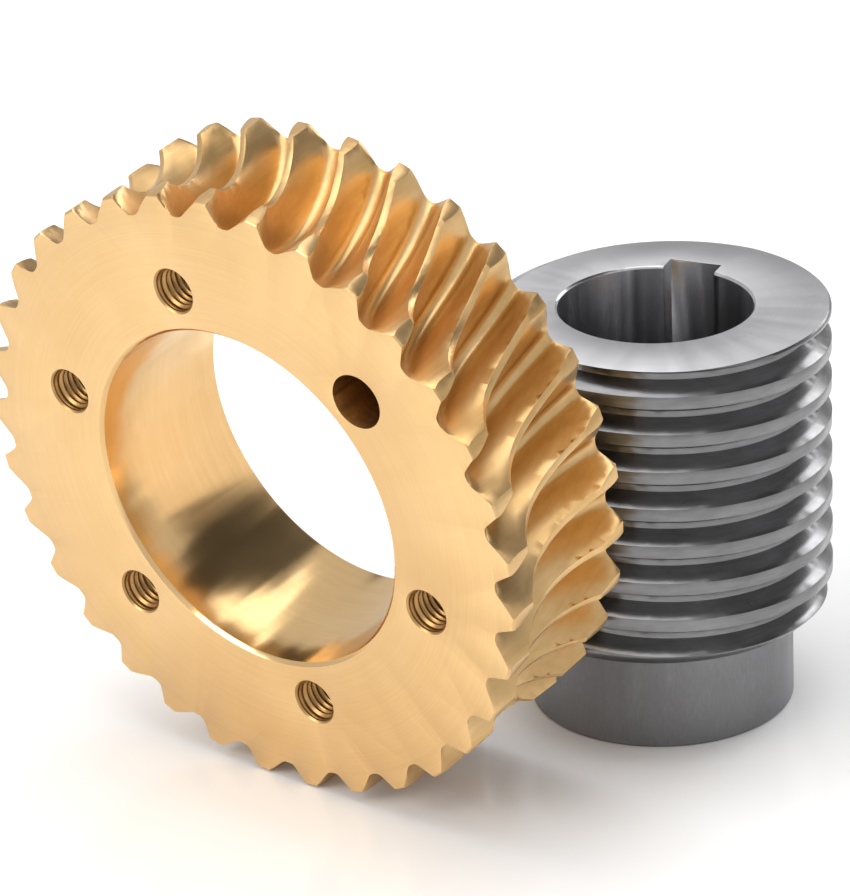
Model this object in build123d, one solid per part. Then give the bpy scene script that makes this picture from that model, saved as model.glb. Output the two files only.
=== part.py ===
"""Worm gear set: a throated bronze worm wheel standing beside a hollow, keyed steel worm.

The worm stands on its hub with its bore along +Z and the origin at the centre of its base.
The wheel stands beside it on the rim of its front face and leans a little towards that face.
Lengths are in millimetres and angles in degrees.
"""

import os
from math import atan2, cos, pi, radians, sin, sqrt

from build123d import *

# Worm wheel
TEETH = 33
WHEEL_OD = 144.0
FACE_WIDTH = 38.5
WHEEL_BORE = 80.0
BORE_CHAMFER = 0.8
RIM_CHAMFER = 0.4
HOLE_CIRCLE = 99.0
TAPPED_HOLE = 10.0
TAPPED_CHAMFER = 0.4
PLAIN_HOLE = 12.5
PLAIN_HOLE_ANGLE = 43.0
HOLES = 6

# Teeth of the wheel, as a many-start hob leaves them
HOB_STARTS = 4
HOB_TIP_R = 26.0
HOB_ROOT_R = 18.0
ROOT_R_AT_FACE = 67.3
LAND = 1.6
GAP_PHASE = 3.6
GAP_SHAPE = ((0.0, 0.0), (0.24, 0.04), (0.4, 0.2), (0.7, 0.6), (1.0, 1.0), (1.1, 1.16))
GAP_OVERRUN = 0.5
GAP_STATIONS = 7

# Where the wheel stands
WHEEL_AZIMUTH = 50.4
WHEEL_LEAN = 7.8
WHEEL_FRONT_X = -90.4
WHEEL_FRONT_Y = -45.1

# Worm
WORM_OD = 77.0
WORM_LENGTH = 94.0
HUB_OD = 59.0
HUB_LENGTH = 24.0
THREAD_ROOT_OD = 68.0
THREAD_PITCH = 8.8
CREST_WIDTH = 2.8
ROOT_WIDTH = 1.4
GROOVE_OVERRUN = 1.0
THREAD_END_CHAMFER = 2.6
WORM_BORE = 43.0
KEYWAY_WIDTH = 12.0
KEYWAY_DEPTH = 3.9
KEYWAY_ANGLE = 66.0
EDGE = 0.5

HALF_FACE = FACE_WIDTH / 2
TIP_R = WHEEL_OD / 2
CENTRE_DISTANCE = ROOT_R_AT_FACE + sqrt(HOB_TIP_R**2 - HALF_FACE**2)


def throat_edge():
    """Distance from the mid plane at which the throat meets the outside diameter."""
    return sqrt(HOB_ROOT_R**2 - (CENTRE_DISTANCE - TIP_R) ** 2)


def tip_radius(z):
    if abs(z) >= throat_edge():
        return TIP_R
    return CENTRE_DISTANCE - sqrt(HOB_ROOT_R**2 - z**2)


def root_radius(z):
    return CENTRE_DISTANCE - sqrt(HOB_TIP_R**2 - z**2)


def twist(radius, z):
    """Angle in radians by which a tooth gap has turned at one radius and height: left-hand."""
    return -HOB_STARTS / TEETH * atan2(z, CENTRE_DISTANCE - radius)


def gap_point(side, across, depth, z):
    """One point of a tooth gap; across and depth are shares of the gap's half width and depth."""
    root, tip = root_radius(z), tip_radius(z)
    radius = root + depth * (tip - root)
    half_gap = pi / TEETH - LAND / 2 / tip
    angle = radians(GAP_PHASE) + twist(radius, z) + side * across * half_gap
    return radius * cos(angle), radius * sin(angle), z


def gap_section(z):
    left = [gap_point(-1, across, depth, z) for across, depth in reversed(GAP_SHAPE)]
    right = [gap_point(1, across, depth, z) for across, depth in GAP_SHAPE[1:]]
    outline = left + right
    return Wire([Edge.make_spline(outline), Edge.make_line(outline[-1], outline[0])])


def gap_cutter():
    reach = HALF_FACE + GAP_OVERRUN
    stations = [reach * (2 * i / (GAP_STATIONS - 1) - 1) for i in range(GAP_STATIONS)]
    return Solid.make_loft([gap_section(z) for z in stations])


def wheel_blank():
    """Half section of the ring, turned about Z."""
    bore, rim, face = WHEEL_BORE / 2, TIP_R, HALF_FACE
    edge = throat_edge()
    outline = Polyline(
        (rim, 0, edge),
        (rim, 0, face - RIM_CHAMFER),
        (rim - RIM_CHAMFER, 0, face),
        (bore + BORE_CHAMFER, 0, face),
        (bore, 0, face - BORE_CHAMFER),
        (bore, 0, BORE_CHAMFER - face),
        (bore + BORE_CHAMFER, 0, -face),
        (rim - RIM_CHAMFER, 0, -face),
        (rim, 0, RIM_CHAMFER - face),
        (rim, 0, -edge),
    )
    throat = ThreePointArc((rim, 0, -edge), (CENTRE_DISTANCE - HOB_ROOT_R, 0, 0), (rim, 0, edge))
    return revolve(make_face(Wire(list(outline.edges()) + list(throat.edges()))), Axis.Z)


def wheel_holes():
    """Five tapped holes, modelled at the thread's outside diameter, and one plain hole."""
    cutters = []
    for i in range(HOLES):
        angle = PLAIN_HOLE_ANGLE + i * 360 / HOLES
        place = Rot(0, 0, angle) * Pos(HOLE_CIRCLE / 2, 0, 0)
        diameter = TAPPED_HOLE if i else PLAIN_HOLE
        cutters.append(place * Cylinder(diameter / 2, 2 * FACE_WIDTH))
        if i:
            mouth = Cone(TAPPED_HOLE / 2, TAPPED_HOLE / 2 + 2 * TAPPED_CHAMFER, 2 * TAPPED_CHAMFER)
            cutters.append(place * Pos(0, 0, HALF_FACE) * mouth)
            cutters.append(place * Pos(0, 0, -HALF_FACE) * Rot(180, 0, 0) * mouth)
    return cutters


def wheel_place():
    """Front face centre above the ground by the rim's tilted radius, axis out of the front face."""
    azimuth, lean = radians(WHEEL_AZIMUTH), radians(WHEEL_LEAN)
    front = (-cos(lean) * cos(azimuth), -cos(lean) * sin(azimuth), -sin(lean))
    centre = Vector(WHEEL_FRONT_X, WHEEL_FRONT_Y, TIP_R * cos(lean)) - Vector(*front) * HALF_FACE
    return Plane(origin=centre, x_dir=(sin(azimuth), -cos(azimuth), 0), z_dir=front).location


def worm_wheel():
    cutter = gap_cutter()
    gaps = [Rot(0, 0, i * 360 / TEETH) * cutter for i in range(TEETH)]
    return wheel_place() * (wheel_blank() - gaps - wheel_holes())


def worm_blank():
    """Half section of the threaded body and its hub, turned about Z."""
    bore, hub, body, top = WORM_BORE / 2, HUB_OD / 2, WORM_OD / 2, WORM_LENGTH
    outline = Polyline(
        (bore + EDGE, 0, 0),
        (hub - EDGE, 0, 0),
        (hub, 0, EDGE),
        (hub, 0, HUB_LENGTH),
        (body - THREAD_END_CHAMFER, 0, HUB_LENGTH),
        (body, 0, HUB_LENGTH + THREAD_END_CHAMFER),
        (body, 0, top - EDGE),
        (body - EDGE, 0, top),
        (bore + EDGE, 0, top),
        (bore, 0, top - EDGE),
        (bore, 0, EDGE),
        (bore + EDGE, 0, 0),
    )
    return revolve(make_face(outline), Axis.Z)


def groove_turn():
    """One turn of the left-hand groove, starting on the +X side at height zero."""
    root, outside = THREAD_ROOT_OD / 2, WORM_OD / 2 + GROOVE_OVERRUN
    flank = (THREAD_PITCH - CREST_WIDTH - ROOT_WIDTH) / 2
    slope = flank / (WORM_OD / 2 - root)
    half_root = ROOT_WIDTH / 2
    half_mouth = half_root + slope * (outside - root)
    section = Polyline(
        (root, 0, -half_root),
        (outside, 0, -half_mouth),
        (outside, 0, half_mouth),
        (root, 0, half_root),
        (root, 0, -half_root),
    )
    path = Helix(THREAD_PITCH, THREAD_PITCH, root, lefthand=True)
    return sweep(make_face(section), path=path, is_frenet=True)


def groove_start():
    """Height of the first groove turn: a crest meets the lower end face on the -Y side."""
    crest_at_front = HUB_LENGTH + CREST_WIDTH / 2
    quarter_turn = THREAD_PITCH / 4
    return crest_at_front - quarter_turn - 1.5 * THREAD_PITCH


def worm():
    solid = worm_blank()
    turn = groove_turn()
    for i in range(int((WORM_LENGTH - groove_start()) / THREAD_PITCH) + 1):
        solid -= Pos(0, 0, groove_start() + i * THREAD_PITCH) * turn
    reach = WORM_BORE / 2 + KEYWAY_DEPTH
    keyway = Pos(reach / 2, 0, WORM_LENGTH / 2) * Box(reach, KEYWAY_WIDTH, 2 * WORM_LENGTH)
    return solid - Rot(0, 0, KEYWAY_ANGLE) * keyway


def main():
    os.makedirs("parts", exist_ok=True)
    export_step(worm_wheel(), "parts/worm_wheel.step")
    export_step(worm(), "parts/worm.step")


main()
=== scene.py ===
"""Worm gear set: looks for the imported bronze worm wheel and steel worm, on a white glossy floor."""

from math import cos, pi, radians, sin, sqrt

import bpy
from mathutils import Matrix, Vector


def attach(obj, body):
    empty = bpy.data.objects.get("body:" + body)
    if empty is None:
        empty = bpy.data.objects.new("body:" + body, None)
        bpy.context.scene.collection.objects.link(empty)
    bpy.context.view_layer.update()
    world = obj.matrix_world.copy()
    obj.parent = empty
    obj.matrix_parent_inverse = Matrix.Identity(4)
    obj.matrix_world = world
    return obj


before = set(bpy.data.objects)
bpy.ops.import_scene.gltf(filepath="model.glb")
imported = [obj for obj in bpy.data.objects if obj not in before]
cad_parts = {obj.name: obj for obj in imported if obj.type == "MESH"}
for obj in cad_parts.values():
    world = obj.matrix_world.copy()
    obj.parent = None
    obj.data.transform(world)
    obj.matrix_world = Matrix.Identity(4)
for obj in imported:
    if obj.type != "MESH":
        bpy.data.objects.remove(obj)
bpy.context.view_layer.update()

# The set's geometry, in metres
WHEEL_AZIMUTH = 50.4
WHEEL_LEAN = 7.8
WHEEL_FRONT = (-0.0904, -0.0451)
WHEEL_TIP_R = 0.072
FACE_WIDTH = 0.0385
WHEEL_BORE_R = 0.040
HOLE_CIRCLE_R = 0.0495
PLAIN_HOLE_ANGLE = 43.0
TAPPED_R = 0.005
TAPPED_MINOR_R = 0.0042
TAPPED_PITCH = 0.0015
PLAIN_HOLE_R = 0.00625
WORM_BORE_R = 0.0215
WORM_HUB_R = 0.0295
WORM_HUB_TOP = 0.024

# Allowances for telling a wall, chamfers included, from its neighbours
FLAT = 0.999
SKIN = 0.0002
BORE_CHAMFER = 0.0009
HOLE_CHAMFER = 0.0005
KEYWAY_REACH = 0.0045

# Metal colours
BRONZE_PALE = (0.83, 0.585, 0.31)
BRONZE_GOLD = (0.69, 0.44, 0.185)
# Painted shade: the amber dark end darkens the wheel's teeth, standing in for the shade between them
BRONZE_AMBER_SHADE = (0.54, 0.31, 0.095)
# Painted shade: the brown dark end darkens the wheel's holes and their threads, standing in for the
# shade inside them
BRONZE_BROWN_SHADE = (0.22, 0.11, 0.035)
# Painted shade: the black dark end darkens the worm's thread, standing in for the shade in its grooves
STEEL_BLACK_SHADE = (0.13, 0.13, 0.13)
STEEL_DARK = (0.20, 0.20, 0.205)
STEEL_MID = (0.31, 0.31, 0.32)
STEEL_LIGHT = (0.66, 0.66, 0.68)
# Painted light: the pale end lightens the worm's flat end faces, standing in for light on the top face
STEEL_PALE_LIT = (0.80, 0.80, 0.82)

# Tool marks: cycles per metre of radius, per radian and per metre of height
FACED = (2600, 1.5, 10)
WHEEL_BORED = (10, 2, 900)
DRILLED = (200, 8, 900)
HOBBED = (700, 30, 40)
WORM_BORED = (10, 8, 40)
HUB_TURNED = (10, 60, 500)
THREAD_TURNED = (1200, 6, 900)
CLOUD_SCALE = 45.0
SPECK_SCALE = 900.0
MARK_DEPTH = 0.00004

# Mesh finish
WELD_DISTANCE = 0.000002
SHARP_ANGLE = 38
WHEEL_EDGE = 0.00022
WORM_EDGE = 0.0003

# The camera
CAMERA_PLACE = (-0.0516, -1.1102, 0.5605)
CAMERA_DOWN = 24.2
CAMERA_ROLL = 2.2
LENS_MM = 221.0


def wheel_matrix():
    """Wheel frame: Z out of the front face, origin at the middle of the ring."""
    azimuth, lean = radians(WHEEL_AZIMUTH), radians(WHEEL_LEAN)
    z = Vector((-cos(lean) * cos(azimuth), -cos(lean) * sin(azimuth), -sin(lean)))
    x = Vector((sin(azimuth), -cos(azimuth), 0))
    y = z.cross(x)
    front = Vector((*WHEEL_FRONT, WHEEL_TIP_R * cos(lean)))
    turn = Matrix((x, y, z)).transposed().to_4x4()
    return Matrix.Translation(front - z * FACE_WIDTH / 2) @ turn


class Nodes:
    """Short names for building one material's node tree."""

    def __init__(self, name):
        self.material = bpy.data.materials.new(name)
        self.material.use_nodes = True
        self.tree = self.material.node_tree
        self.shader = self.tree.nodes["Principled BSDF"]

    def add(self, kind, inputs=(), **settings):
        node = self.tree.nodes.new(kind)
        for key, value in settings.items():
            setattr(node, key, value)
        for socket, value in dict(inputs).items():
            self.put(node.inputs[socket], value)
        return node

    def put(self, socket, value):
        if isinstance(value, bpy.types.NodeSocket):
            self.tree.links.new(value, socket)
        else:
            socket.default_value = value

    def set(self, socket, value):
        self.put(self.shader.inputs[socket], value)

    def math(self, operation, a, b=0.0):
        return self.add("ShaderNodeMath", {0: a, 1: b}, operation=operation).outputs[0]

    def place(self, matrix):
        """The point in the frame of matrix, from the object's own coordinates."""
        point = self.add("ShaderNodeTexCoord").outputs["Object"]
        where = {"Vector": point, "Location": matrix.to_translation(), "Rotation": matrix.to_euler()}
        return self.add("ShaderNodeMapping", where, vector_type="TEXTURE").outputs["Vector"]

    def polar(self, point):
        """Radius, angle and height of a point about its frame's Z axis."""
        split = self.add("ShaderNodeSeparateXYZ", {0: point}).outputs
        squares = [self.math("POWER", split[axis], 2) for axis in (0, 1)]
        radius = self.math("SQRT", self.math("ADD", *squares))
        return radius, self.math("ARCTAN2", split[1], split[0]), split[2]

    def vector(self, x, y, z):
        return self.add("ShaderNodeCombineXYZ", {0: x, 1: y, 2: z}).outputs[0]

    def noise(self, vector, scale, detail=3.0, roughness=0.55):
        inputs = {"Vector": vector, "Scale": scale, "Detail": detail, "Roughness": roughness}
        return self.add("ShaderNodeTexNoise", inputs).outputs["Fac"]

    def ramp(self, factor, low, high):
        """A factor of 0 to 1 as a value from low to high."""
        inputs = {"Value": factor, "To Min": low, "To Max": high}
        return self.add("ShaderNodeMapRange", inputs).outputs["Result"]

    def blend(self, factor, dark, light):
        """A colour from dark to light, through the Mix node's colour sockets."""
        inputs = {0: factor, 6: (*dark, 1), 7: (*light, 1)}
        return self.add("ShaderNodeMix", inputs, data_type="RGBA").outputs[2]

    def bump(self, height, strength, distance):
        inputs = {"Height": height, "Strength": strength, "Distance": distance}
        self.set("Normal", self.add("ShaderNodeBump", inputs).outputs["Normal"])


def metal(name, matrix, dark, light, rough, marks, bump):
    """A machined metal: cloudy tone, fine specks and tool marks that follow its turning axis."""
    n = Nodes(name)
    point = n.place(matrix)
    radius, angle, height = n.polar(point)
    streaks = n.vector(*(n.math("MULTIPLY", v, f) for v, f in zip((radius, angle, height), marks)))
    fine = n.noise(streaks, 1.0, 4.0)
    cloud = n.noise(point, CLOUD_SCALE, 4.0)
    specks = n.noise(point, SPECK_SCALE, 2.0)
    tone = n.math("ADD", n.math("MULTIPLY", fine, 0.4), n.math("MULTIPLY", cloud, 0.6))
    n.set("Base Color", n.blend(n.ramp(tone, -0.3, 1.3), dark, light))
    n.set("Metallic", 1.0)
    wear = n.math("ADD", n.math("MULTIPLY", cloud, 0.5), n.math("MULTIPLY", specks, 0.5))
    n.set("Roughness", n.ramp(wear, rough[0], rough[1]))
    n.bump(n.math("ADD", fine, n.math("MULTIPLY", specks, 0.3)), bump, MARK_DEPTH)
    return n.material


def floor_material():
    """White, slightly glossy and unevenly polished."""
    n = Nodes("floor")
    point = n.add("ShaderNodeTexCoord").outputs["Object"]
    n.set("Base Color", (0.93, 0.93, 0.93, 1))
    n.set("Roughness", n.ramp(n.noise(point, 6.0), 0.1, 0.16))
    n.set("Specular IOR Level", 0.35)
    return n.material


def finish_mesh(obj, bevel):
    """Joined, softly shaded faces and a small worn edge, as modifiers on the fixed mesh."""
    for polygon in obj.data.polygons:
        polygon.use_smooth = True
    weld = obj.modifiers.new("weld", "WELD")
    weld.merge_threshold = WELD_DISTANCE
    edges = obj.modifiers.new("edges", "BEVEL")
    edges.width = bevel
    edges.segments = 2
    edges.limit_method = "ANGLE"
    edges.angle_limit = radians(SHARP_ANGLE)
    edges.harden_normals = True
    edges.use_clamp_overlap = True


def paint(obj, materials, choose):
    """One material slot for each name, and a slot for each face by its middle and normal."""
    obj.data.materials.clear()
    names = list(materials)
    for name in names:
        obj.data.materials.append(materials[name])
    for polygon in obj.data.polygons:
        polygon.material_index = names.index(choose(polygon.center, polygon.normal))


def wheel_surface(place):
    """Chooser of the wheel's materials, for the wheel standing at place."""
    to_wheel = place.inverted()

    def choose(centre, normal):
        p = to_wheel @ centre
        n = to_wheel.to_3x3() @ normal
        radius = sqrt(p.x**2 + p.y**2)
        if abs(n.z) > FLAT and abs(p.z) > FACE_WIDTH / 2 - SKIN:
            return "bronze_face"
        if radius < WHEEL_BORE_R + BORE_CHAMFER:
            return "bronze_bore"
        if radius < HOLE_CIRCLE_R + PLAIN_HOLE_R + HOLE_CHAMFER:
            return "bronze_hole_shaded"
        return "bronze_teeth_shaded"

    return choose


def worm_surface(centre, normal):
    """Material of one of the worm's faces; the bore's walls, keyway included, face inwards."""
    radius = sqrt(centre.x**2 + centre.y**2)
    outward = normal.x * centre.x + normal.y * centre.y
    if abs(normal.z) > FLAT:
        return "steel_face_lit"
    if radius < WORM_BORE_R + KEYWAY_REACH and outward < 0.5 * radius:
        return "steel_bore"
    if centre.z < WORM_HUB_TOP and radius < WORM_HUB_R + SKIN:
        return "steel_hub"
    return "steel_thread_shaded"


def thread_liner(name, place, material):
    """Inner thread of one tapped hole, hanging just inside the hole's wall."""
    around, per_pitch = 40, 8
    wall_gap, mouth_gap = 0.00003, 0.0008
    length = FACE_WIDTH - 2 * mouth_gap
    rows = int(length / TAPPED_PITCH * per_pitch)
    vertices, faces = [], []
    for i in range(rows + 1):
        z = length * (i / rows - 0.5)
        end = min(1.0, (length / 2 - abs(z)) / TAPPED_PITCH)
        for j in range(around):
            turn = j / around
            phase = (z / TAPPED_PITCH - turn) % 1.0
            ridge = min(1.0, 1.3 * (1 - abs(2 * phase - 1)))
            r = TAPPED_R - wall_gap - end * ridge * (TAPPED_R - TAPPED_MINOR_R)
            vertices.append((r * cos(2 * pi * turn), r * sin(2 * pi * turn), z))
    for i in range(rows):
        for j in range(around):
            k = (j + 1) % around
            a, b = i * around, (i + 1) * around
            faces.append((a + j, b + j, b + k, a + k))
    mesh = bpy.data.meshes.new(name)
    mesh.from_pydata(vertices, [], faces)
    mesh.materials.append(material)
    for polygon in mesh.polygons:
        polygon.use_smooth = True
    obj = bpy.data.objects.new(name, mesh)
    bpy.context.scene.collection.objects.link(obj)
    obj.matrix_world = place
    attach(obj, "wheel_body")


def card(name, place, target, size, colour, glow=0.0):
    """A plain or glowing board that only reflections see, facing its target."""
    facing = (Vector(target) - Vector(place)).to_track_quat("Z", "Y").to_euler()
    bpy.ops.mesh.primitive_plane_add(size=1, location=place, rotation=facing)
    board = bpy.context.object
    board.name = name
    board.scale = (*size, 1)
    n = Nodes(name)
    n.set("Base Color", (*colour, 1))
    n.set("Roughness", 0.9)
    n.set("Emission Color", (*colour, 1))
    n.set("Emission Strength", glow)
    board.data.materials.append(n.material)
    board.visible_camera = False
    board.visible_diffuse = False
    board.visible_shadow = False


def area_light(name, place, target, size, power, colour=(1, 1, 1)):
    data = bpy.data.lights.new(name, "AREA")
    data.shape = "RECTANGLE"
    data.size, data.size_y = size
    data.energy = power
    data.color = colour
    light = bpy.data.objects.new(name, data)
    light.location = place
    light.rotation_euler = (Vector(target) - Vector(place)).to_track_quat("-Z", "Y").to_euler()
    bpy.context.scene.collection.objects.link(light)
    light.visible_camera = False


def build_wheel():
    """Wheel's materials as (dark, light, roughness range, tool marks, bump), edges and threads."""
    place = wheel_matrix()
    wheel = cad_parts["worm_wheel"]
    looks = {
        "bronze_face": (BRONZE_GOLD, BRONZE_PALE, (0.34, 0.5), FACED, 0.22),
        "bronze_bore": (BRONZE_GOLD, BRONZE_PALE, (0.17, 0.2), WHEEL_BORED, 0.01),
        # Holes: painted shade, brown up to gold, darker than the face's bronze
        "bronze_hole_shaded": (BRONZE_BROWN_SHADE, BRONZE_GOLD, (0.3, 0.42), DRILLED, 0.15),
        # Teeth: painted shade, their range starts at the amber shade, darker than the face's bronze
        "bronze_teeth_shaded": (BRONZE_AMBER_SHADE, BRONZE_PALE, (0.3, 0.42), HOBBED, 0.1),
    }
    materials = {name: metal(name, place, *look) for name, look in looks.items()}
    paint(wheel, materials, wheel_surface(place))
    finish_mesh(wheel, WHEEL_EDGE)
    for i in range(1, 6):
        angle = radians(PLAIN_HOLE_ANGLE + 60 * i)
        spot = Matrix.Translation((HOLE_CIRCLE_R * cos(angle), HOLE_CIRCLE_R * sin(angle), 0))
        # The tapped threads take the holes' painted shade
        thread_liner(f"tapped_thread_{i}", place @ spot, materials["bronze_hole_shaded"])


def build_worm():
    """Worm's materials, in the wheel's form, and its edges."""
    place = Matrix.Identity(4)
    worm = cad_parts["worm"]
    looks = {
        # End faces: painted light, light up to pale, lighter than the worm's other steel
        "steel_face_lit": (STEEL_LIGHT, STEEL_PALE_LIT, (0.34, 0.48), FACED, 0.22),
        "steel_bore": (STEEL_MID, STEEL_LIGHT, (0.2, 0.28), WORM_BORED, 0.05),
        "steel_hub": (STEEL_DARK, STEEL_MID, (0.42, 0.6), HUB_TURNED, 0.5),
        # Thread: painted shade, black up to mid grey, darker than the worm's other steel
        "steel_thread_shaded": (STEEL_BLACK_SHADE, STEEL_MID, (0.24, 0.34), THREAD_TURNED, 0.15),
    }
    materials = {name: metal(name, place, *look) for name, look in looks.items()}
    paint(worm, materials, worm_surface)
    finish_mesh(worm, WORM_EDGE)


def build_stage():
    """White floor, and boards that give the metals something dark or bright to reflect."""
    bpy.ops.mesh.primitive_plane_add(size=12, location=(0, 0, 0))
    floor = bpy.context.object
    floor.name = "floor"
    floor.data.materials.append(floor_material())
    black, white = (0.01, 0.009, 0.007), (0.9, 0.9, 0.9)
    card("dark_bore", (0.414, 0.123, 0.635), (-0.12, -0.03, 0.06), (0.52, 0.56), black)
    card("dark_right", (0.31, 0.42, 0.66), (0.0, 0.0, 0.06), (0.34, 0.46), black)
    card("light_bore", (-0.04, 0.01, 0.041), (-1.0, 0.01, 0.041), (0.08, 0.082), white, 0.4)
    card("dark_back", (0.35, 1.1, 0.36), (0.05, 0.02, 0.08), (0.9, 0.5), black)


def build_light():
    """An even white sky with three soft area lights: overhead, warm from the left, and from behind."""
    world = bpy.data.worlds.new("studio")
    bpy.context.scene.world = world
    world.use_nodes = True
    background = world.node_tree.nodes["Background"]
    background.inputs["Color"].default_value = (1, 1, 1, 1)
    background.inputs["Strength"].default_value = 0.75
    area_light("overhead", (-0.1, 0.1, 1.3), (-0.05, 0, 0), (1.4, 1.2), 9)
    area_light("key_left", (-1.1, -0.7, 0.75), (-0.05, 0, 0.06), (0.7, 0.9), 9, (1, 0.97, 0.93))
    area_light("rim_back", (0.7, 0.9, 0.6), (-0.05, 0, 0.06), (0.5, 0.5), 4)


def build_camera():
    """Camera looking along +Y, tilted down and rolled a little."""
    data = bpy.data.cameras.new("camera")
    data.sensor_width = 36
    data.lens = LENS_MM
    data.clip_end = 20
    camera = bpy.data.objects.new("camera", data)
    bpy.context.scene.collection.objects.link(camera)
    tilt = Matrix.Rotation(radians(90 - CAMERA_DOWN), 4, "X")
    roll = Matrix.Rotation(radians(-CAMERA_ROLL), 4, "Z")
    camera.matrix_world = Matrix.Translation(CAMERA_PLACE) @ tilt @ roll
    bpy.context.scene.camera = camera


build_wheel()
build_worm()
build_stage()
build_light()
build_camera()
bpy.context.scene.view_settings.view_transform = "Standard"
